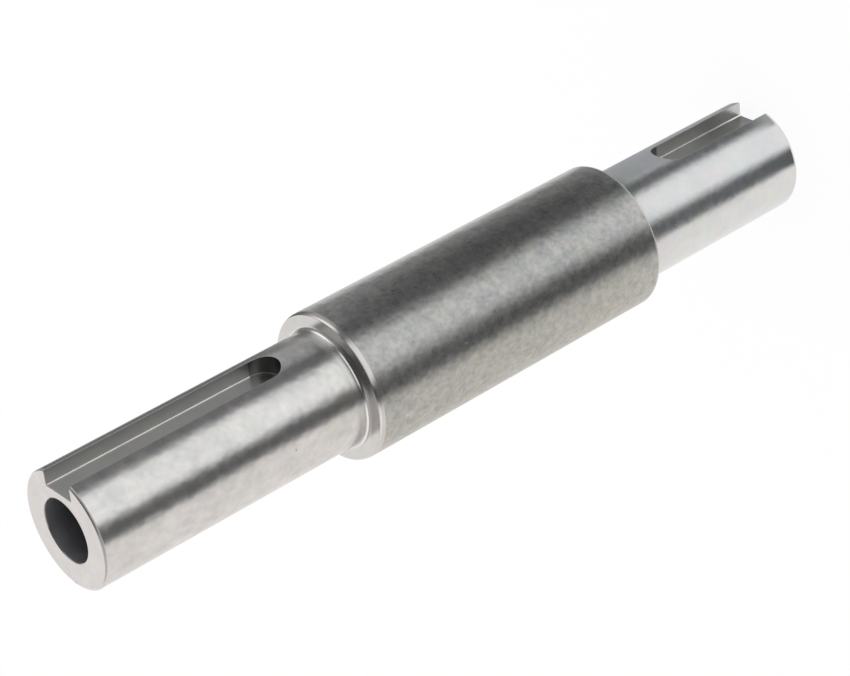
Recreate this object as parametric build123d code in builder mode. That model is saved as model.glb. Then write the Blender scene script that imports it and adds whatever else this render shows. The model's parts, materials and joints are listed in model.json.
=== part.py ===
from build123d import *
import os

# Adapter shaft: one bar turned to three diameters, bored along its axis, with a keyway in each end.
# It stands on its far end, the axis is +Z and the bored end is up. Both keyways face +X. Sizes in mm.

# Driving dimensions
stub_diameter = 25.0        # both stubs, made to fill a 25 mm hub or hollow shaft
shoulder_height = 3.5       # how far the middle stands proud of the stubs
far_stub_length = 46.0
middle_length = 77.5
bored_stub_length = 62.5
bore_diameter = 13.5        # lets an M12 screw through

key_width = 8.0             # the parallel key that belongs to a 25 mm shaft
key_depth = 4.0             # keyway floor below the crown of the stub
far_keyway_land = 16.0      # plain stub between the keyway's round end and the shoulder
bored_keyway_land = 10.5

end_chamfer = 0.3           # outer edge of each end face
bored_rim_chamfer = 1.2     # rim of the middle, on the bored side
bored_rim_blend = 1.5       # radius that runs that chamfer into the middle
bored_face_blend = 0.8      # radius that runs it into the shoulder's face
far_rim_chamfer = 0.3       # rim of the middle, on the far side
root_radius = 0.2           # where each stub runs into its shoulder
mouth_chamfer = 0.3         # both mouths of the bore

# Sizes that follow
stub_radius = stub_diameter / 2
middle_radius = stub_radius + shoulder_height
far_shoulder_z = far_stub_length
bored_shoulder_z = far_shoulder_z + middle_length
total_length = bored_shoulder_z + bored_stub_length
keyway_floor = stub_radius - key_depth


def keyway_plane(round_end_z, direction):
    """The keyway's floor, with its x axis running from the round end towards the open end."""
    return Plane(origin=(keyway_floor, 0, round_end_z), x_dir=(0, 0, direction), z_dir=(1, 0, 0))


with BuildPart() as adapter_shaft:
    # The turned form is half its own section, drawn in the keyways' plane and revolved about the axis
    with BuildSketch(Plane.XZ):
        with BuildLine():
            Polyline(
                (0, 0),
                (stub_radius, 0),
                (stub_radius, far_shoulder_z),
                (middle_radius, far_shoulder_z),
                (middle_radius, bored_shoulder_z),
                (stub_radius, bored_shoulder_z),
                (stub_radius, total_length),
                (0, total_length),
                close=True,
            )
        make_face()
    revolve(axis=Axis.Z)

    # Its four levels from the foot up: far end, far shoulder, bored shoulder, bored end
    far_end, far_shoulder, bored_shoulder, bored_end = (
        adapter_shaft.edges().filter_by(GeomType.CIRCLE).group_by(Axis.Z)
    )
    roots = [level.sort_by(SortBy.RADIUS)[0] for level in (far_shoulder, bored_shoulder)]
    far_rim = far_shoulder.sort_by(SortBy.RADIUS)[-1]
    bored_rim = bored_shoulder.sort_by(SortBy.RADIUS)[-1]
    fillet(roots, radius=root_radius)
    chamfer(far_rim, length=far_rim_chamfer)
    chamfer(bored_rim, length=bored_rim_chamfer)
    chamfer(far_end + bored_end, length=end_chamfer)
    bored_rim_cone = adapter_shaft.faces().filter_by(GeomType.CONE).sort_by(SortBy.AREA)[-1]
    wall_edge = bored_rim_cone.edges().filter_by(GeomType.CIRCLE).sort_by(SortBy.RADIUS)[-1]
    fillet(wall_edge, radius=bored_rim_blend)
    bored_shoulder_face = adapter_shaft.faces().filter_by(GeomType.PLANE).sort_by(Axis.Z)[-2]
    face_edge = bored_shoulder_face.edges().sort_by(SortBy.RADIUS)[-1]
    fillet(face_edge, radius=bored_face_blend)

    # The bore runs from end to end, with both mouths broken
    with Locations((0, 0, total_length / 2)):
        Hole(radius=bore_diameter / 2)
    bore_wall = adapter_shaft.faces().filter_by(GeomType.CYLINDER).sort_by(SortBy.RADIUS)[0]
    chamfer(bore_wall.edges().filter_by(GeomType.CIRCLE), length=mouth_chamfer)

    # Each keyway is milled from its round end out through the end face
    round_radius = key_width / 2
    bored_keyway_length = bored_stub_length - bored_keyway_land
    with BuildSketch(keyway_plane(bored_shoulder_z + bored_keyway_land + round_radius, 1)):
        Circle(round_radius)
        Rectangle(bored_keyway_length, key_width, align=(Align.MIN, Align.CENTER))
    extrude(amount=stub_radius, mode=Mode.SUBTRACT)

    far_keyway_length = far_stub_length - far_keyway_land
    with BuildSketch(keyway_plane(far_shoulder_z - far_keyway_land - round_radius, -1)):
        Circle(round_radius)
        Rectangle(far_keyway_length, key_width, align=(Align.MIN, Align.CENTER))
    extrude(amount=stub_radius, mode=Mode.SUBTRACT)

adapter_shaft.part.label = "adapter_shaft"

os.makedirs("parts", exist_ok=True)
export_step(adapter_shaft.part, "parts/adapter_shaft.step")
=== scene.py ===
import json
import bmesh
import bpy
import numpy as np
from mathutils import Matrix, Vector


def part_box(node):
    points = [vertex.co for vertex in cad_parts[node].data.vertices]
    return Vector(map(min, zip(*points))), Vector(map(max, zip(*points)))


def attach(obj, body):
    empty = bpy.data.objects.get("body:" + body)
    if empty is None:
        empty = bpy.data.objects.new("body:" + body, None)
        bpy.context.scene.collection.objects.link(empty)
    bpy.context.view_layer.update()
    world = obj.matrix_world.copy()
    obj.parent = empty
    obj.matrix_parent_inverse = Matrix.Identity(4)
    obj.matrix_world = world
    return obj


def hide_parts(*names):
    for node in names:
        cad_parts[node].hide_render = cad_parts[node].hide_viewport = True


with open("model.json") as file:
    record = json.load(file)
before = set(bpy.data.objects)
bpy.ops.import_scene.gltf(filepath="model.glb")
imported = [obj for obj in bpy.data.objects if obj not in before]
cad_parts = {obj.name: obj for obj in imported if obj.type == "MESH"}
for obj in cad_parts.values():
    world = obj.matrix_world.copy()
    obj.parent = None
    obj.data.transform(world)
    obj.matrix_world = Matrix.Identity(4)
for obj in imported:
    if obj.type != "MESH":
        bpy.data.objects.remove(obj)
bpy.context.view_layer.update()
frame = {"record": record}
print("frame loaded")

mm = 0.001
mounts = {m["name"]: m for m in frame["record"]["mounts"]}
shaftLow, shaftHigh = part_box("adapter_shaft")

# the shaft's own sizes: places and radii come from the frame, edges are set here
shaft = {
    "length": shaftHigh.z,
    "middleRadius": min(shaftHigh.x, shaftHigh.y, -shaftLow.x, -shaftLow.y),
    "stubRadius": mounts["bored_stub"]["dims"]["r_mm"] * mm,
    "boreRadius": mounts["through_bore"]["dims"]["r_mm"] * mm,
    "farShoulder": mounts["far_side_shoulder"]["pos_m"][2],
    "boredShoulder": mounts["bored_side_shoulder"]["pos_m"][2],
    "endChamfer": 0.3 * mm,
    "endEdge": 0.48 * mm,         # rounding on both sides of an end chamfer
    "mouthChamfer": 0.15 * mm,
    "finestEdge": 0.06 * mm,      # rounding of the smallest corners
    "rootRadius": 0.2 * mm,       # fillet between the far stub and its shoulder
    "farRim": 0.3 * mm,           # chamfer of that shoulder's rim
    "brokenEdge": 0.30 * mm,      # rounding between that chamfer and the middle's wall
    "boredFace": 0.70 * mm,       # the bored shoulder's flat face lies this far below the CAD's
    "boredRoot": 0.85 * mm,       # fillet between that face and the stub's foot
    "flare": 1.9 * mm,            # the stub's foot widens over this height above the face
    "flareOut": 0.14 * mm,        # by this much
    "flareRound": 8 * mm,         # rounding where it leaves the stub's wall
    "ungroundStart": 0.935 * mm,  # the stub's foot is left unground from here above the face
    "ungroundEnd": 1.8 * mm,      # to here above the CAD's shoulder
    "rollStart": 1.36 * mm,       # the rim of the middle rolls off from about here below the CAD's shoulder
    "rollRoom": 1.0 * mm,         # wall left clear of rows below that
    "roll": 2.6 * mm,             # radius of the roll
    "rollIn": 0.32 * mm,          # how far it has come in at the rim's corner
    "rollCorner": 0.15 * mm,      # rounding of that corner
    "columns": 220,               # quads round the shaft
    "arcSteps": 6,                # quads across a rounding
    "rowSpacing": 6 * mm,         # longest quad along the axis
    "endFaceRings": 5,
    "weld": 0.0005 * mm,          # corners nearer than this become one
}

# both keyways have this section; each starts with a half-round end and runs out at its end of the shaft
keyway = {
    "halfWidth": 4.0 * mm,
    "floor": 8.5 * mm,          # from the axis
    "lip": 0.12 * mm,           # rounding of its upper edges
    "corner": 0.28 * mm,        # radius between wall and floor
    "farLand": 16.0 * mm,       # plain stub between shoulder and round end
    "boredLand": 10.5 * mm,
    "roundRows": 16,
    "wallRows": 3,
    "floorColumns": 10,
    "floorAngle": 36.0,         # degrees round the bore that the end face's quads reach from the floor's edge
    "wallAngle": 42.0,          # and from the top of the wall
}


def unit(v):
    return v / np.linalg.norm(v, axis=-1, keepdims=True)


# An outline is a chain of stops (radius, height, rounding, finish). At each stop the two straight sides are
# joined by an arc that touches both, worked out as its centre plus the turning normal times the rounding.
def roundedOutline(stops, steps):
    corners = np.array([s[:2] for s in stops])
    sides = unit(np.diff(corners, axis=0))
    squares = np.stack([sides[:, 1], -sides[:, 0]], 1)    # to the right of the way along
    rows, finishes = [np.hstack([corners[:1], squares[:1]])], [stops[0][3]]
    for i in range(1, len(stops) - 1):
        before, after, square = sides[i - 1], sides[i], squares[i - 1]
        turn = np.arctan2(before[0] * after[1] - before[1] * after[0], before @ after)
        radius = stops[i][2] * np.sign(turn)
        angles = np.linspace(0, turn, steps + 1)[:, None] if abs(turn) > 1e-6 else np.zeros((1, 1))
        normals = np.cos(angles) * square + np.sin(angles) * [-square[1], square[0]]
        start = corners[i] - before * abs(radius) * np.tan(abs(turn) / 2)
        rows.append(np.hstack([start - radius * square + radius * normals, normals]))
        finishes += [stops[i][3]] * len(angles)
    rows.append(np.hstack([corners[-1:], squares[-1:]]))
    finishes.append(stops[-1][3])
    return np.vstack(rows), finishes


# Rows are added on a straight side so that no quad is longer than the row spacing.
def straightSide(radius, start, end, finish):
    count = max(int(np.ceil(abs(end - start) / shaft["rowSpacing"])), 1)
    return [(radius, z, 0, finish) for z in np.linspace(start, end, count + 1)[1:-1]]


# Heights of the rows that cross a keyway's round end: equal turns round a circle, so the arc is even.
def roundEndRows(centre, direction):
    reach = keyway["halfWidth"] + keyway["lip"]
    turns = np.linspace(0, np.pi / 2, keyway["roundRows"] + 1)
    return np.sort(centre - direction * reach * np.cos(turns))


farCentre = shaft["farShoulder"] - keyway["farLand"] - keyway["halfWidth"]
boredCentre = shaft["boredShoulder"] + keyway["boredLand"] + keyway["halfWidth"]


# The skin's outline runs up from the far end's face to the bored end's, over both shoulders.
def skinOutline():
    s = shaft
    stub, middle, top = s["stubRadius"], s["middleRadius"], s["length"]
    chamfered = stub - s["endChamfer"]
    farStart, boredEnd = s["endChamfer"], top - s["endChamfer"]
    farRows = roundEndRows(farCentre, -1)
    boredRows = roundEndRows(boredCentre, 1)
    stops = [(chamfered - s["endChamfer"], 0, 0, "endFace"), (chamfered, 0, s["endEdge"], "brokenEdge")]
    stops += [(stub, farStart, s["endEdge"], "farStub")]
    stops += straightSide(stub, farStart, farRows[0], "farStub")
    stops += [(stub, z, 0, "farStub") for z in farRows]
    stops += straightSide(stub, farRows[-1], s["farShoulder"] - s["rootRadius"], "farStub")

    wallStart = s["farShoulder"] + 2 * s["farRim"]
    rollStart = s["boredShoulder"] - s["rollStart"]
    stops += [(stub, s["farShoulder"], s["rootRadius"], "faced")]
    stops += [(middle - s["farRim"], s["farShoulder"], s["finestEdge"], "faced")]
    stops += [(middle, s["farShoulder"] + s["farRim"], s["brokenEdge"], "brokenEdge")]
    stops += [(middle, wallStart, 0, "middle")]
    stops += straightSide(middle, wallStart, rollStart - s["rollRoom"], "middle")

    face, foot = s["boredShoulder"] - s["boredFace"], stub + s["flareOut"]
    inByThen = s["flareOut"] * s["ungroundStart"] / s["flare"]
    groundStart = s["boredShoulder"] + s["ungroundEnd"]
    stops += [(middle, rollStart, s["roll"], "faced")]
    # the bored shoulder's face is smoother than the faced steel, and its lighter colour is painted light
    stops += [(middle - s["rollIn"], face, s["rollCorner"], "shoulderFace")]
    stops += [(foot, face, s["boredRoot"], "shoulderFace")]
    stops += [(foot - inByThen, face + s["ungroundStart"], 0, "unground")]
    stops += [(stub, face + s["flare"], s["flareRound"], "unground"), (stub, groundStart, 0, "boredStub")]

    stops += straightSide(stub, groundStart, boredRows[0], "boredStub")
    stops += [(stub, z, 0, "boredStub") for z in boredRows]
    stops += straightSide(stub, boredRows[-1], boredEnd, "boredStub")
    stops += [(stub, boredEnd, s["endEdge"], "brokenEdge"), (chamfered, top, s["endEdge"], "endFace")]
    stops += [(chamfered - s["endChamfer"], top, 0, "endFace")]
    rows, finishes = roundedOutline(stops, s["arcSteps"])
    return rows[1:-1], finishes[1:-1]    # from the foot's face to the bored end's face


# The bore's own outline runs down from one mouth to the other.
def boreOutline():
    s, edge = shaft, shaft["finestEdge"]
    hole, mouth, top = s["boreRadius"], s["boreRadius"] + s["mouthChamfer"], s["length"]
    stops = [(mouth + s["mouthChamfer"], top, 0, "faced"), (mouth, top, edge, "faced")]
    stops += [(hole, top - s["mouthChamfer"], edge, "bore")]
    stops += straightSide(hole, top - s["mouthChamfer"], s["mouthChamfer"], "bore")
    stops += [(hole, s["mouthChamfer"], edge, "faced"), (mouth, 0, edge, "faced")]
    stops += [(mouth + s["mouthChamfer"], 0, 0, "faced")]
    rows, finishes = roundedOutline(stops, s["arcSteps"])
    return rows[1:-1], finishes[1:-1]


patches = []


# A patch is a grid of points with the surface's own normals. Its quads are turned to face where the normals
# point.
def addPatch(points, normals, finish, closed=False):
    if closed:
        points, normals = (np.concatenate([a, a[:, :1]], 1) for a in (points, normals))
    across = points[1:, 1:] - points[:-1, :-1]
    other = points[:-1, 1:] - points[1:, :-1]
    facing = np.sum(np.cross(across, other) * (normals[1:, 1:] + normals[:-1, :-1]))
    finishes = np.broadcast_to(np.array(finish, dtype=object), (points.shape[0] - 1, points.shape[1] - 1))
    patches.append({"points": points, "normals": normals, "finishes": finishes, "turned": facing < 0})


# Each row of an outline is turned round the axis: its radius and its normal's outward part are multiplied by
# the ring's directions, its height and its normal's upward part stay.
def revolve(rows, ring):
    tall = ring.shape[:2] + (1,)
    points = np.concatenate([rows[:, None, :1] * ring, np.broadcast_to(rows[:, None, 1:2], tall)], -1)
    normals = np.concatenate([rows[:, None, 2:3] * ring, np.broadcast_to(rows[:, None, 3:], tall)], -1)
    return points, normals


# How far the middle of the lip's rounding stands off the keyway's plane at each row of the outline, and the
# keyway's wall direction there. The rounding is a ball that rolls inside the skin and outside the cutter.
def ballTrack(rows, centre, direction):
    reach, lip = keyway["halfWidth"] + keyway["lip"], keyway["lip"]
    ballRadius = rows[:, 0] - lip * rows[:, 2]
    ballHeight = rows[:, 1] - lip * rows[:, 3]
    beyond = np.minimum(direction * (ballHeight - centre), 0)
    aside = np.sqrt(np.clip(reach**2 - beyond**2, 0, None))
    return {"radius": ballRadius, "height": ballHeight, "beyond": direction * beyond, "aside": aside}


# The skin is the outline revolved: each row runs from one side of the keyway's opening round to the other.
def makeSkin(rows, finishes):
    aside = sum(ballTrack(rows, c, d)["aside"] for c, d in ((farCentre, -1), (boredCentre, 1)))
    opening = np.arcsin(aside / (rows[:, 0] - keyway["lip"] * rows[:, 2]))
    share = np.linspace(0, 1, shaft["columns"] + 1)
    angles = opening[:, None] + (2 * np.pi - 2 * opening[:, None]) * share
    ring = np.stack([np.cos(angles), np.sin(angles)], -1)
    points, normals = revolve(rows, ring)
    addPatch(points, normals, np.array(finishes[:-1], dtype=object)[:, None])
    return points


# One side of a keyway's section at every row: the lip is a fan of normals about the ball's middle, from the
# skin's to the wall's, the wall runs straight down, and the corner is a quarter round that ends on the floor.
def keywaySide(rows, track, side):
    k, lip = keyway, keyway["lip"]
    reach, steps = k["halfWidth"] + lip, shaft["arcSteps"]
    y = side * track["aside"]
    x = np.sqrt(track["radius"] ** 2 - y**2)
    ball = np.stack([x, y, track["height"]], -1)
    skin = np.stack([rows[:, 2] * x / track["radius"], rows[:, 2] * y / track["radius"], rows[:, 3]], -1)
    outward = np.stack([0 * y, y, track["beyond"]], -1) / reach
    spread = np.arccos(np.clip(np.sum(-skin * outward, -1), -1, 1))[:, None, None]
    part = np.linspace(0, 1, steps + 1)[None, :, None]
    skinShare, wallShare = np.sin((1 - part) * spread), np.sin(part * spread)
    lipNormals = (skinShare * skin[:, None] - wallShare * outward[:, None]) / np.sin(spread)
    lipPoints = ball[:, None] + lip * lipNormals
    drop = np.linspace(0, 1, k["wallRows"] + 1)[None, 1:, None]
    wallTop = lipPoints[:, -1:]
    wallPoints = wallTop + drop * (np.array([1, 0, 0]) * (k["floor"] + k["corner"] - wallTop[..., :1]))
    wallNormals = np.broadcast_to(-outward[:, None], wallPoints.shape)
    turn = np.linspace(0, np.pi / 2, steps + 1)[None, 1:, None]
    axis = ball - outward * reach    # the cutter's axis, level with this row
    inward = k["halfWidth"] - k["corner"] + k["corner"] * np.cos(turn)
    upward = k["floor"] + k["corner"] - k["corner"] * np.sin(turn)
    cornerPoints = axis[:, None] * [0, 1, 1] + outward[:, None] * inward + np.array([1, 0, 0]) * upward
    cornerNormals = -outward[:, None] * np.cos(turn) + np.array([1, 0, 0]) * np.sin(turn)
    return (np.concatenate([lipPoints, wallPoints, cornerPoints], 1),
            np.concatenate([lipNormals, wallNormals, cornerNormals], 1))


# A keyway is its section carried along the rows of the outline that it crosses. At the open end the section
# turns over a small rounding into the end face.
def makeKeyway(rows, centre, direction):
    track = ballTrack(rows, centre, direction)
    crossed = direction * (track["height"] - centre) > -(keyway["halfWidth"] + keyway["lip"]) - 1e-9
    rows = rows[crossed]
    track = {name: values[crossed] for name, values in track.items()}
    (left, leftNormals), (right, rightNormals) = (keywaySide(rows, track, side) for side in (-1, 1))
    share = np.linspace(0, 1, keyway["floorColumns"] + 1)[None, 1:-1, None]
    floorPoints = left[:, -1:] * (1 - share) + right[:, -1:] * share
    floorNormals = np.broadcast_to([1.0, 0, 0], floorPoints.shape)
    points = np.concatenate([left, floorPoints, right[:, ::-1]], 1)
    normals = np.concatenate([leftNormals, floorNormals, rightNormals[:, ::-1]], 1)
    steps = shaft["arcSteps"]
    # painted shade and light: the far keyway's floor takes a darker copy of the keyway steel, and its wall a
    # lighter one
    floorFinish, wallFinish = ("keyway", "keyway") if direction > 0 else ("farKeyway", "farWall")
    # the corners between wall and floor are rounded and catch light; their lighter colour paints more
    # highlight on top
    side = [wallFinish] * (steps + keyway["wallRows"]) + ["keywayCorner"] * steps
    acrossIt = side + [floorFinish] * keyway["floorColumns"] + side[::-1]
    finishes = np.tile(acrossIt, (len(rows) - 1, 1)).astype(object)
    # painted shade: the walls round the half-round end take a dark colour
    between = (track["height"][1:] + track["height"][:-1]) / 2
    walls = np.r_[steps:len(side), -len(side):-steps]
    finishes[np.ix_(direction * (between - centre) < 0, walls)] = "keywayEnd"
    addPatch(points, normals, finishes)
    openRow = -1 if direction > 0 else 0
    edgePoints, edgeNormals = (a[openRow, steps:-steps] for a in (points, normals))
    turn = np.linspace(0, np.pi / 2, steps + 1)[:, None, None]
    rolled = np.cos(turn) * edgeNormals + np.sin(turn) * [0, 0, direction]
    lipPoints = edgePoints - keyway["lip"] * edgeNormals + keyway["lip"] * rolled
    addPatch(lipPoints, rolled, "keyway")
    return lipPoints[-1]


# An end face lies between its outer edge, notched by the keyway, and the bore's mouth: each point is on the
# straight line between a point of that edge and its partner on the mouth's circle.
def makeEndFace(skinRow, notch, mouthRow, direction):
    beside, below = np.radians(keyway["wallAngle"]), np.radians(keyway["floorAngle"])
    skinAngles = beside + (2 * np.pi - 2 * beside) * np.linspace(0, 1, len(skinRow))
    depth = (notch[:, 0].max() - notch[:, 0]) / np.ptp(notch[:, 0])
    wallAngles = beside + (below - beside) * depth
    floorAngles = below * notch[:, 1] / np.abs(notch[:, 1]).max()
    onFloor = depth > 0.999
    notchAngles = np.where(onFloor, floorAngles, np.sign(notch[:, 1]) * wallAngles)
    loop = np.concatenate([skinRow, notch[1:-1]])
    angles = np.concatenate([skinAngles, notchAngles[1:-1]])
    mouth = np.stack([mouthRow[0] * np.cos(angles), mouthRow[0] * np.sin(angles), loop[:, 2]], -1)
    share = np.linspace(0, 1, shaft["endFaceRings"] + 1)[:, None, None]
    points = loop * (1 - share) + mouth * share
    addPatch(points, np.broadcast_to([0.0, 0, direction], points.shape), "endFace", closed=True)
    return angles


# The bore is its outline revolved on the angles at which the end faces meet it.
def makeBore(angles):
    rows, finishes = boreOutline()
    ring = np.broadcast_to(np.stack([np.cos(angles), np.sin(angles)], -1), (len(rows), len(angles), 2))
    points, normals = revolve(rows, ring)
    addPatch(points, normals, np.array(finishes[:-1], dtype=object)[:, None], closed=True)


# The patches' shared edges are welded, and every corner takes the normal that its patch worked out.
def weldPatches(name, finishOrder):
    corners, normals, quads, slots, first = [], [], [], [], 0
    for p in patches:
        high, wide = p["points"].shape[:2]
        index = first + np.arange(high * wide).reshape(high, wide)
        quad = np.stack([index[:-1, :-1], index[:-1, 1:], index[1:, 1:], index[1:, :-1]], -1).reshape(-1, 4)
        quads.append(quad[:, ::-1] if not p["turned"] else quad)
        slots.append(np.array([finishOrder.index(f) for f in p["finishes"].ravel()]))
        corners.append(p["points"].reshape(-1, 3))
        normals.append(p["normals"].reshape(-1, 3))
        first += high * wide
    mesh = bpy.data.meshes.new(name)
    mesh.from_pydata(np.concatenate(corners).tolist(), [], np.concatenate(quads).tolist())
    mesh.polygons.foreach_set("material_index", np.concatenate(slots).astype(np.int32))
    carried = mesh.attributes.new("carriedNormal", "FLOAT_VECTOR", "POINT")
    carried.data.foreach_set("vector", np.concatenate(normals).astype(np.float32).ravel())
    work = bmesh.new()
    work.from_mesh(mesh)
    bmesh.ops.remove_doubles(work, verts=work.verts, dist=shaft["weld"])
    bmesh.ops.dissolve_degenerate(work, edges=work.edges, dist=shaft["weld"] / 5)
    work.to_mesh(mesh)
    openEdges = sum(1 for e in work.edges if len(e.link_faces) != 2)
    print(name, "faces", len(work.faces), "open edges", openEdges, "volume mm3", work.calc_volume() / mm**3)
    work.free()
    mesh.polygons.foreach_set("use_smooth", np.ones(len(mesh.polygons), bool))
    kept = np.zeros(len(mesh.vertices) * 3, np.float32)
    mesh.attributes["carriedNormal"].data.foreach_get("vector", kept)
    mesh.normals_split_custom_set_from_vertices(unit(kept.reshape(-1, 3)).tolist())
    mesh.attributes.remove(mesh.attributes["carriedNormal"])
    piece = bpy.data.objects.new(name, mesh)
    bpy.context.scene.collection.objects.link(piece)
    return piece


# Every node tree is written through this bench: node() adds a node, and plug() gives a socket its value or
# joins it to another node's output.
class NodeBench:
    def __init__(self, tree):
        self.tree = tree

    def plug(self, socket, value):
        if isinstance(value, bpy.types.NodeSocket):
            self.tree.links.new(value, socket)
        else:
            socket.default_value = value

    def node(self, kind, inputs=(), **settings):
        made = self.tree.nodes.new("ShaderNode" + kind)
        for name, value in settings.items():
            setattr(made, name, value)
        for place, value in dict(inputs).items():
            self.plug(made.inputs[place], value)
        return made

    def maths(self, operation, *values):
        return self.node("Math", dict(enumerate(values)), operation=operation).outputs[0]

    def noise(self, vector, scale, detail):
        return self.node("TexNoise", {"Vector": vector, "Scale": scale, "Detail": detail})

    def ramp(self, value, low, high, start=0.0, end=1.0):
        inputs = {"Value": value, "From Min": low, "From Max": high, "To Min": start, "To Max": end}
        return self.node("MapRange", inputs, interpolation_type="SMOOTHSTEP").outputs["Result"]


def newGroup(name, inputs, outputs):
    tree = bpy.data.node_groups.new(name, "ShaderNodeTree")
    for socketName, kind, value in inputs:
        socket = tree.interface.new_socket(name=socketName, in_out="INPUT", socket_type="NodeSocket" + kind)
        if value is not None:
            socket.default_value = value
    for socketName, kind in outputs:
        tree.interface.new_socket(name=socketName, in_out="OUTPUT", socket_type="NodeSocket" + kind)
    bench = NodeBench(tree)
    taken = tree.nodes.new("NodeGroupInput")
    given = tree.nodes.new("NodeGroupOutput")
    return tree, bench, taken.outputs, given.inputs


# Tool lines run round the axis. The noise is read at height plus 1.7 times radius, which changes along a
# wall, across an end face and down a chamfer alike. It changes slowly round the shaft, so each line fades in
# and out.
def makeToolLines():
    tree, bench, taken, given = newGroup(
        "toolLines",
        [("Place", "Vector", None), ("Spacing", "Float", 0.2), ("Run", "Float", 8.0)],
        [("Lines", "Float")])
    place = bench.node("VectorMath", {0: taken["Place"], "Scale": 1 / mm}, operation="SCALE").outputs[0]
    x, y, z = bench.node("SeparateXYZ", {0: place}).outputs
    squares = [bench.maths("MULTIPLY", value, value) for value in (x, y)]
    radius = bench.maths("SQRT", bench.maths("ADD", *squares))
    along = bench.maths("DIVIDE", bench.maths("MULTIPLY_ADD", radius, 1.7, z), taken["Spacing"])
    across = [bench.maths("DIVIDE", value, taken["Run"]) for value in (x, y)]
    spot = bench.node("CombineXYZ", {0: across[0], 1: across[1], 2: along}).outputs[0]
    bench.plug(given["Lines"], bench.noise(spot, 1.0, 0.5).outputs[0])
    return tree


# Cloud is a soft patchy noise of the given size, drawn out along the axis by Stretch. Tint is the same
# noise's own colour, centred on white and held to Hue.
def makeCloud():
    tree, bench, taken, given = newGroup(
        "cloud",
        [("Place", "Vector", None), ("Size", "Float", 3.0), ("Stretch", "Float", 1.0),
         ("Detail", "Float", 2.0), ("Hue", "Float", 0.0)],
        [("Cloud", "Float"), ("Tint", "Color")])
    x, y, z = bench.node("SeparateXYZ", {0: taken["Place"]}).outputs
    z = bench.maths("DIVIDE", z, taken["Stretch"])
    spot = bench.node("CombineXYZ", {0: x, 1: y, 2: z}).outputs[0]
    scale = bench.maths("DIVIDE", 1 / mm, taken["Size"])
    cloud = bench.noise(spot, scale, taken["Detail"])
    bench.plug(given["Cloud"], cloud.outputs[0])
    swing = bench.node("VectorMath", {0: cloud.outputs["Color"], 1: (0.5, 0.5, 0.5)}, operation="SUBTRACT")
    swing = bench.node("VectorMath", {0: swing.outputs[0], "Scale": taken["Hue"]}, operation="SCALE")
    bench.plug(given["Tint"], bench.node("VectorMath", {0: swing.outputs[0], 1: (1, 1, 1)}).outputs[0])
    return tree


# Dents lie in a share of the cells of a cell pattern. Each cell's own colour decides whether it has one and
# how large it is. The pattern is turned and drawn out along its own z, so a dent can be a pit or a nick.
def makeDents():
    tree, bench, taken, given = newGroup(
        "dents",
        [("Place", "Vector", None), ("Turn", "Vector", None), ("Stretch", "Float", 1.0),
         ("Apart", "Float", 2.0), ("Width", "Float", 0.2), ("Share", "Float", 0.2)],
        [("Dents", "Float")])
    turned = bench.node("VectorRotate", {"Vector": taken["Place"], "Rotation": taken["Turn"]},
                        rotation_type="EULER_XYZ").outputs[0]
    x, y, z = bench.node("SeparateXYZ", {0: turned}).outputs
    z = bench.maths("DIVIDE", z, taken["Stretch"])
    spot = bench.node("CombineXYZ", {0: x, 1: y, 2: z}).outputs[0]
    scale = bench.maths("DIVIDE", 1 / mm, taken["Apart"])
    cells = bench.node("TexVoronoi", {"Vector": spot, "Scale": scale})
    chance, size, _ = bench.node("SeparateColor", {0: cells.outputs["Color"]}).outputs
    reach = bench.maths("DIVIDE", bench.maths("MULTIPLY", taken["Width"], size), taken["Apart"])
    dent = bench.ramp(cells.outputs["Distance"], reach, 0.0)
    chosen = bench.maths("LESS_THAN", chance, taken["Share"])
    bench.plug(given["Dents"], bench.maths("MULTIPLY", dent, chosen))
    return tree


effects = {"toolLines": makeToolLines(), "cloud": makeCloud(), "dents": makeDents()}

# What every finish is unless its own entry says otherwise. Sizes and depths are in millimetres.
plainFinish = {
    "cloudSize": 4.0,           # stains
    "cloudStretch": 1.2,
    "tone": 0.06,               # how much lighter and darker they are
    "roughTone": 0.02,          # and how much rougher and smoother
    "hue": 0.05,
    "mottleSize": 1.5,          # fine mottling
    "mottleStretch": 1.1,
    "mottleRough": 0.01,
    "mottleTone": 0.03,
    "mottleDepth": 0.004,
    "lineSpacing": 0.4,         # tool lines
    "lineRun": 9.0,             # how far round a line runs before it fades
    "lineDepth": 0.0008,
    "lineRough": 0.03,
    "lineTone": 0.02,
    "waveSize": 3.0,            # unevenness of the wall, in two sizes
    "waveDepth": 0.012,
    "swaySize": 12.0,
    "swayDepth": 0.05,
    "pitApart": 3.0,            # small round pits
    "pitWidth": 0.5,
    "pitShare": 0.12,
    "pitDepth": 0.02,
    "pitDark": 0.4,
    "pitRough": 0.2,
    "nickTurn": (1.1, 0.5, 0.0),    # short scratches, all one way
    "nickStretch": 6.0,
    "nickApart": 2.4,
    "nickWidth": 0.4,
    "nickShare": 0.04,
    "nickDepth": 0.006,
    "footShade": 0.0,           # painted shade: how much darker the colour is made towards the foot
    "footReach": 9.0,           # and how high that reaches
}

cleanCut = {"mottleDepth": 0.0, "waveDepth": 0.002, "swayDepth": 0.01}
turnedFace = {**cleanCut, "roughness": 0.22, "tone": 0.08, "lineDepth": 0.001}
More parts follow.
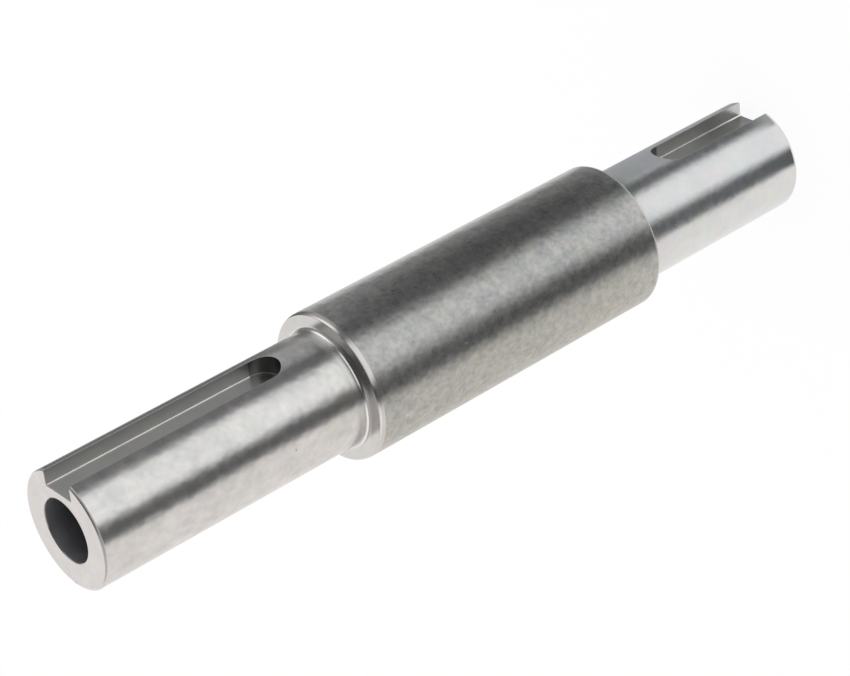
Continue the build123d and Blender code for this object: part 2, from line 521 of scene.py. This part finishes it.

# the steel as each stage of the work left it, and some lighter and darker copies of it that paint light and
# shade in the keyways and on the bored shoulder's face
finishes = {
    "farStub": {
        "color": (0.70, 0.712, 0.715), "roughness": 0.23, "hue": 0.14, "mottleRough": 0.08,
        "mottleDepth": 0.022, "waveDepth": 0.036},
    "middle": {
        "color": (0.50, 0.505, 0.49), "roughness": 0.28, "tone": 0.22, "cloudSize": 2.3,
        "cloudStretch": 1.0, "hue": 0.17, "mottleSize": 0.95, "mottleTone": 0.26, "mottleDepth": 0.009,
        "waveDepth": 0.08, "swayDepth": 0.09, "pitShare": 0.22, "pitApart": 2.4, "pitDark": 0.24,
        "pitDepth": 0.035},
    "boredStub": {
        "color": (0.72, 0.715, 0.70), "roughness": 0.22, "tone": 0.20, "hue": 0.09, "mottleTone": 0.12,
        "mottleDepth": 0.014, "waveDepth": 0.065},
    "unground": {"color": (0.74, 0.735, 0.725), "roughness": 0.24},
    "faced": {**turnedFace, "color": (0.68, 0.655, 0.645)},
    "endFace": {**turnedFace, "color": (0.82, 0.79, 0.778)},
    # partly painted light: the lower roughness is the face's own, its lighter colour brightens its reflection
    "shoulderFace": {**cleanCut, "color": (0.80, 0.785, 0.77), "roughness": 0.20},
    "brokenEdge": {
        "color": (0.80, 0.79, 0.78), "roughness": 0.55, "mottleDepth": 0.0, "waveDepth": 0.0,
        "swayDepth": 0.0},
    "keyway": {
        "color": (0.50, 0.50, 0.49), "roughness": 0.33, "lineRun": 60.0, "waveDepth": 0.010,
        "swayDepth": 0.01},
    # painted shade: the far keyway's floor is a darker copy of the keyway steel, darker still towards its
    # foot
    "farKeyway": {"color": (0.38, 0.382, 0.372), "roughness": 0.33, "lineRun": 60.0, "footShade": 0.55},
    # painted light: the far keyway's wall is a lighter copy of the keyway steel, brightening its reflection
    "farWall": {"color": (0.58, 0.582, 0.567), "roughness": 0.30, "lineRun": 60.0},
    # painted shade: the walls round each keyway's half-round end are coloured dark
    "keywayEnd": {"color": (0.24, 0.24, 0.24), "roughness": 0.35, "lineRun": 60.0, "waveDepth": 0.004},
    # partly painted highlight: the rounded corner catches light, and its lighter colour than the keyway
    # paints more of it
    "keywayCorner": {
        "color": (0.82, 0.80, 0.775), "roughness": 0.18, "tone": 0.2, "cloudSize": 2.0,
        "waveDepth": 0.004},
    "bore": {
        "color": (0.56, 0.565, 0.59), "roughness": 0.50, "tone": 0.15, "lineDepth": 0.003, "lineTone": 0.1,
        "mottleDepth": 0.0},
}


def steelMaterial(name, own):
    look = {**plainFinish, **own}
    material = bpy.data.materials.new(name)
    material.use_nodes = True
    bench = NodeBench(material.node_tree)
    steel = material.node_tree.nodes["Principled BSDF"]
    steel.inputs["Metallic"].default_value = 1
    place = bench.node("TexCoord").outputs["Object"]

    def effect(groupName, **inputs):
        made = bench.node("Group", node_tree=effects[groupName])
        for socketName, value in {"Place": place, **inputs}.items():
            bench.plug(made.inputs[socketName], value)
        return made.outputs

    def swing(value, amount):    # runs from minus to plus half the amount as the value runs from 0 to 1
        return bench.maths("MULTIPLY", bench.maths("SUBTRACT", value, 0.5), amount)

    lines = effect("toolLines", Spacing=look["lineSpacing"], Run=look["lineRun"])["Lines"]
    cloud = effect("cloud", Size=look["cloudSize"], Stretch=look["cloudStretch"], Hue=look["hue"])
    mottles = effect("cloud", Size=look["mottleSize"], Stretch=look["mottleStretch"], Detail=1.0)["Cloud"]
    wave = effect("cloud", Size=look["waveSize"], Detail=1.0)["Cloud"]
    sway = effect("cloud", Size=look["swaySize"], Detail=0.0)["Cloud"]
    pits = effect("dents", Apart=look["pitApart"], Width=look["pitWidth"], Share=look["pitShare"])["Dents"]
    nicks = effect("dents", Turn=look["nickTurn"], Stretch=look["nickStretch"], Apart=look["nickApart"],
                   Width=look["nickWidth"], Share=look["nickShare"])["Dents"]

    tone = bench.maths("ADD", swing(cloud["Cloud"], look["tone"] * 2), swing(lines, look["lineTone"] * 2))
    tone = bench.maths("ADD", tone, swing(mottles, look["mottleTone"] * 2))
    pitShade = bench.maths("MULTIPLY", pits, look["pitDark"])
    tone = bench.maths("SUBTRACT", bench.maths("ADD", tone, 1.0), pitShade)
    # painted shade: the colour is darkened towards the foot, standing in for the shade there
    aboveFoot = bench.node("SeparateXYZ", {0: place}).outputs["Z"]
    footShade = bench.ramp(aboveFoot, 0.0, look["footReach"] * mm, 1 - look["footShade"], 1.0)
    tone = bench.maths("MULTIPLY", tone, footShade)
    color = bench.node("VectorMath", {0: look["color"], 1: cloud["Tint"]}, operation="MULTIPLY").outputs[0]
    color = bench.node("VectorMath", {0: color, "Scale": tone}, operation="SCALE").outputs[0]
    bench.plug(steel.inputs["Base Color"], color)

    rough = bench.maths("ADD", swing(cloud["Cloud"], look["roughTone"]), swing(lines, look["lineRough"]))
    rough = bench.maths("ADD", rough, swing(mottles, look["mottleRough"] * 2))
    rough = bench.maths("ADD", rough, look["roughness"])
    bench.plug(steel.inputs["Roughness"], bench.maths("MULTIPLY_ADD", pits, look["pitRough"], rough))

    height = bench.maths("MULTIPLY", lines, look["lineDepth"])
    height = bench.maths("MULTIPLY_ADD", mottles, look["mottleDepth"], height)
    height = bench.maths("MULTIPLY_ADD", wave, look["waveDepth"], height)
    height = bench.maths("MULTIPLY_ADD", sway, look["swayDepth"], height)
    height = bench.maths("SUBTRACT", height, bench.maths("MULTIPLY", pits, look["pitDepth"]))
    height = bench.maths("SUBTRACT", height, bench.maths("MULTIPLY", nicks, look["nickDepth"]))
    bump = bench.node("Bump", {"Height": height, "Distance": mm})
    bench.plug(steel.inputs["Normal"], bump.outputs[0])
    return material


skinRows, skinFinishes = skinOutline()
skinPoints = makeSkin(skinRows, skinFinishes)
boredNotch = makeKeyway(skinRows, boredCentre, 1)
farNotch = makeKeyway(skinRows, farCentre, -1)
boreRows, _ = boreOutline()
boreAngles = makeEndFace(skinPoints[-1], boredNotch, boreRows[0], 1)
makeEndFace(skinPoints[0], farNotch, boreRows[-1], -1)
makeBore(boreAngles)
shaftPiece = weldPatches("adapterShaft", list(finishes))
for finishName, look in finishes.items():
    shaftPiece.data.materials.append(steelMaterial(finishName, look))
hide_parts("adapter_shaft")
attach(shaftPiece, "root")
print("shaft made")

camera = {
    "azimuth": 38.3,            # from -Y towards +X
    "elevation": 31.64,
    "distance": 0.5541,
    "aim": (-0.00044, -0.00034, 0.09757),
    "roll": -118.68,            # the photo shows the shaft lying aslant
    "lens": 116.45,
    "sensor": 36.0,
}

# the studio: a white floor under a white sky, and cards that only the steel's reflections see
studio = {
    "floorRadius": 6.0,
    "floorGlow": 0.92,          # the rest of the floor's white is light that the shaft can shade
    "skyStrength": 1.0,
    "cardLift": 0.05 * mm,      # each card lies this much above the one before
    "cardStart": -1.2 * mm,     # the far stub's cards reach this far in under its foot
    "cardEnd": 2.5,
    "cardFirstRow": 1 * mm,     # a floor card's rows start this close and lie ever further apart
    "floorCardRows": 15,
    "skyDistance": 3.0,
    "skyStep": 0.02,            # each sky card lies this much nearer than the one before
    "skyCardRows": 24,
    "cardColumns": 60,
    "farEndHeight": 12 * mm,    # the far stub's end has a card of its own up to here
    "floorSides": 96,
    "floorCentre": 0.1 * mm,    # radius of the floor's inner ring
}

# Across is azimuth in degrees round from the camera, towards the keyways, and up is elevation. Each edge
# fades over its soft degrees. A floor card lies where its own stretch of the shaft mirrors it, and softAlong
# holds the shares of its rows over which it fades in near the shaft and out at the other end.
floorCards = [
    {"seenIn": "boredStub", "across": (-200, -52), "soft": (50, 8), "color": (0.88, 0.84, 0.82)},
    {"seenIn": "boredStub", "across": (-62, -10), "soft": (14, 20), "color": (0.11,) * 3},
    {"seenIn": "boredStub", "across": (70, 170), "soft": (14, 50), "color": (0.42,) * 3},
    {"seenIn": "boredStub", "across": (70, 124), "soft": (14, 30), "color": (0.44,) * 3},
    {"seenIn": "boredStub", "across": (30, 84), "soft": (20, 18), "color": (0.16, 0.16, 0.165)},
    {"seenIn": "boredStub", "across": (112, 200), "soft": (20, 50), "softAlong": (0.5, 0),
     "color": (0.16, 0.16, 0.165)},
    {"seenIn": "middle", "across": (-200, -52), "soft": (60, 8), "color": (0.84, 0.80, 0.75)},
    {"seenIn": "middle", "across": (-14, 70), "soft": (20, 30), "color": (0.90,) * 3},
    {"seenIn": "middle", "across": (-66, 4), "soft": (20, 34), "color": (0.09,) * 3},
    {"seenIn": "middle", "across": (84, 150), "soft": (14, 20), "color": (0.30,) * 3},
    {"seenIn": "middle", "across": (22, 122), "soft": (32, 36), "color": (0.10, 0.10, 0.103)},
    {"seenIn": "farStub", "across": (-176, -52), "soft": (50, 8), "color": (0.97, 0.94, 0.915)},
    {"seenIn": "farStub", "across": (-64, -10), "soft": (14, 20), "color": (0.13, 0.135, 0.14)},
    {"seenIn": "farStub", "across": (70, 196), "soft": (14, 44), "color": (0.42, 0.425, 0.44)},
    {"seenIn": "farStub", "across": (33, 84), "soft": (20, 18), "color": (0.14, 0.145, 0.15)},
    {"seenIn": "farEnd", "across": (28, 84), "soft": (12, 14), "softAlong": (0, 0.75),
     "color": (0.44, 0.44, 0.455)},
]
skyCards = [
    {"across": (-180, 180), "up": (52, 90), "soft": (0, 0), "softUp": (16, 0), "color": (0.06,) * 3},
    {"across": (-95, 110), "up": (30, 74), "soft": (30, 30), "softUp": (16, 12), "color": (0.06,) * 3},
    {"across": (-50, 50), "up": (14, 74), "soft": (24, 24), "softUp": (12, 12), "color": (0.06,) * 3},
    {"across": (-190, -50), "up": (20, 80), "soft": (26, 14), "softUp": (8, 10), "color": (0.48, 0.46, 0.45)},
    {"across": (92, 190), "up": (34, 80), "soft": (16, 26), "softUp": (14, 10), "color": (0.22,) * 3},
    {"across": (100, 156), "up": (-4, 50), "soft": (20, 12), "softUp": (4, 14), "color": (0.22,) * 3},
    {"across": (150, 180), "up": (2, 34), "soft": (8, 12), "softUp": (8, 10), "color": (0.95, 0.94, 0.92)},
    {"across": (-178, -142), "up": (2, 34), "soft": (12, 10), "softUp": (8, 10), "color": (0.95, 0.92, 0.90)},
    {"across": (150, 210), "up": (20, 46), "soft": (24, 16), "softUp": (6, 8), "color": (0.80, 0.79, 0.775)},
    {"across": (-125, -56), "up": (-2, 28), "soft": (30, 12), "softUp": (8, 9), "color": (1.15, 1.11, 1.08)},
    {"across": (60, 125), "up": (20, 60), "soft": (14, 14), "softUp": (8, 12), "color": (0.40,) * 3},
    {"across": (68, 118), "up": (-2, 29), "soft": (12, 26), "softUp": (8, 9), "color": (1.35, 1.35, 1.33)},
    {"across": (-60, -16), "up": (-6, 42), "soft": (14, 14), "softUp": (4, 8), "color": (0.06,) * 3},
    {"across": (34, 70), "up": (-6, 42), "soft": (14, 14), "softUp": (4, 8), "color": (0.12,) * 3},
]


def gridObject(name, points):
    high, wide = points.shape[:2]
    index = np.arange(high * wide).reshape(high, wide)
    quads = np.stack([index[:-1, :-1], index[:-1, 1:], index[1:, 1:], index[1:, :-1]], -1).reshape(-1, 4)
    mesh = bpy.data.meshes.new(name)
    mesh.from_pydata(points.reshape(-1, 3).tolist(), [], quads.tolist())
    across, along = np.meshgrid(np.linspace(0, 1, wide), np.linspace(0, 1, high))
    spread = np.stack([across, along], -1).reshape(-1, 2)
    layer = mesh.uv_layers.new(name="sheet")
    layer.data.foreach_set("uv", spread[quads.ravel()].astype(np.float32).ravel())
    made = bpy.data.objects.new(name, mesh)
    bpy.context.scene.collection.objects.link(made)
    return made


def newStageMaterial(name):
    material = bpy.data.materials.new(name)
    material.use_nodes = True
    material.node_tree.nodes.clear()
    material.cycles.emission_sampling = "NONE"
    return material, NodeBench(material.node_tree)


# The floor is a disc: two rings of points, at the axis and far out, turned round the axis.
def makeFloor():
    turns = np.linspace(0, 2 * np.pi, studio["floorSides"] + 1)
    reach = np.array([[studio["floorCentre"]], [studio["floorRadius"]]])
    x, y = reach * np.cos(turns), reach * np.sin(turns)
    points = np.stack([x, y, np.zeros_like(x)], -1)
    floor = gridObject("floor", points)
    material, bench = newStageMaterial("whiteFloor")
    rest = 1 - studio["floorGlow"]
    glow = bench.node("Emission", {"Strength": studio["floorGlow"]})
    paint = bench.node("BsdfDiffuse", {"Color": (rest, rest, rest, 1)})
    both = bench.node("AddShader", {0: glow.outputs[0], 1: paint.outputs[0]})
    bench.node("OutputMaterial", {"Surface": both.outputs[0]})
    floor.data.materials.append(material)


# A card's cover is a smooth step in from each edge of its sheet. Soft holds two pairs, for the sheet's width
# and for its height: the shares of it over which the cover fades at the start and at the end.
def cardMaterial(name, color, soft):
    material, bench = newStageMaterial(name)
    place = bench.node("TexCoord").outputs["UV"]
    u, v, _ = bench.node("SeparateXYZ", {0: place}).outputs
    cover = 1.0
    for value, (atStart, atEnd) in zip((u, v), soft):
        if atStart:
            cover = bench.maths("MULTIPLY", cover, bench.ramp(value, 0.0, atStart))
        if atEnd:
            cover = bench.maths("MULTIPLY", cover, bench.ramp(value, 1.0, 1.0 - atEnd))
    clear = bench.node("BsdfTransparent")
    glow = bench.node("Emission", {"Color": (*color, 1)})
    mix = bench.node("MixShader", {0: cover, 1: clear.outputs[0], 2: glow.outputs[0]})
    bench.node("OutputMaterial", {"Surface": mix.outputs[0]})
    return material


def seenByGlossOnly(card):
    for kind in ("camera", "diffuse", "transmission", "volume_scatter", "shadow"):
        setattr(card, "visible_" + kind, False)


# How far out the floor is mirrored by the wall at a height: the camera's line of sight, turned back by the
# wall, comes down as steeply as it came in.
def mirroredReach(height):
    rise = np.radians(camera["elevation"])
    cameraHeight = camera["aim"][2] + camera["distance"] * np.sin(rise)
    cameraReach = camera["distance"] * np.cos(rise) - shaft["stubRadius"]
    return cameraReach * height / (cameraHeight - height)


# where on the floor each stretch of the shaft is mirrored, from and to
stretches = {
    "farEnd": (studio["cardStart"], mirroredReach(studio["farEndHeight"])),
    "farStub": (studio["cardStart"], mirroredReach(shaft["farShoulder"])),
    "middle": (mirroredReach(shaft["farShoulder"]), mirroredReach(shaft["boredShoulder"])),
    "boredStub": (mirroredReach(shaft["boredShoulder"]), studio["cardEnd"]),
}


# A floor card is made of straight lines. Each starts on the shaft's wall, where the wall faces half the
# line's azimuth, and runs out at that azimuth, which is the way the wall there mirrors the camera's view.
def makeFloorCard(number, card):
    name = "floorCard%d" % number
    degrees = np.linspace(*card["across"], studio["cardColumns"] + 1)
    facing = camera["azimuth"] - 90
    start, end = stretches[card["seenIn"]]
    first = studio["cardFirstRow"]
    reach = np.geomspace(first, end - start + first, studio["floorCardRows"] + 1)[:, None] + start - first
    wall, way = np.radians(facing + degrees / 2), np.radians(facing + degrees)
    x = shaft["stubRadius"] * np.cos(wall) + reach * np.cos(way)
    y = shaft["stubRadius"] * np.sin(wall) + reach * np.sin(way)
    points = np.stack([x, y, np.full(x.shape, studio["cardLift"] * (number + 1))], -1)
    made = gridObject(name, points)
    soft = (np.array(card["soft"]) / np.ptp(card["across"])).tolist()
    made.data.materials.append(cardMaterial(name, card["color"], (soft, card.get("softAlong", (0, 0)))))
    seenByGlossOnly(made)


# A sky card is a patch of a ball round the foot: azimuth runs across it and elevation along it.
def makeSkyCard(number, card):
    name = "skyCard%d" % number
    degrees = np.linspace(*card["across"], studio["cardColumns"] + 1)
    turns = np.radians(camera["azimuth"] - 90 + degrees)
    rises = np.radians(np.linspace(*card["up"], studio["skyCardRows"] + 1))[:, None]
    ball = np.stack(np.broadcast_arrays(
        np.cos(rises) * np.cos(turns), np.cos(rises) * np.sin(turns), np.sin(rises) + 0 * turns), -1)
    made = gridObject(name, (studio["skyDistance"] - number * studio["skyStep"]) * ball)
    soft = (np.array(card["soft"]) / np.ptp(card["across"])).tolist()
    softUp = (np.array(card["softUp"]) / np.ptp(card["up"])).tolist()
    made.data.materials.append(cardMaterial(name, card["color"], (soft, softUp)))
    seenByGlossOnly(made)


def makeSky():
    world = bpy.data.worlds.new("whiteSky")
    world.use_nodes = True
    background = world.node_tree.nodes["Background"]
    background.inputs["Color"].default_value = (1, 1, 1, 1)
    background.inputs["Strength"].default_value = studio["skyStrength"]
    bpy.context.scene.world = world


def makeCamera():
    turn, rise, roll = (np.radians(camera[k]) for k in ("azimuth", "elevation", "roll"))
    away = Vector((np.sin(turn) * np.cos(rise), -np.cos(turn) * np.cos(rise), np.sin(rise)))
    level = Vector((np.cos(turn), np.sin(turn), 0))
    upright = away.cross(level)
    right = level * np.cos(roll) + upright * np.sin(roll)
    up = away.cross(right)
    data = bpy.data.cameras.new("camera")
    data.lens, data.sensor_width = camera["lens"], camera["sensor"]
    made = bpy.data.objects.new("camera", data)
    made.matrix_world = Matrix.Translation(Vector(camera["aim"]) + away * camera["distance"]) @ (
        Matrix((right, up, away)).transposed().to_4x4())
    bpy.context.scene.collection.objects.link(made)
    bpy.context.scene.camera = made


makeFloor()
for number, card in enumerate(floorCards):
    makeFloorCard(number, card)
for number, card in enumerate(skyCards):
    makeSkyCard(number, card)
makeSky()
makeCamera()
bpy.context.scene.view_settings.view_transform = "Standard"
print("studio made")
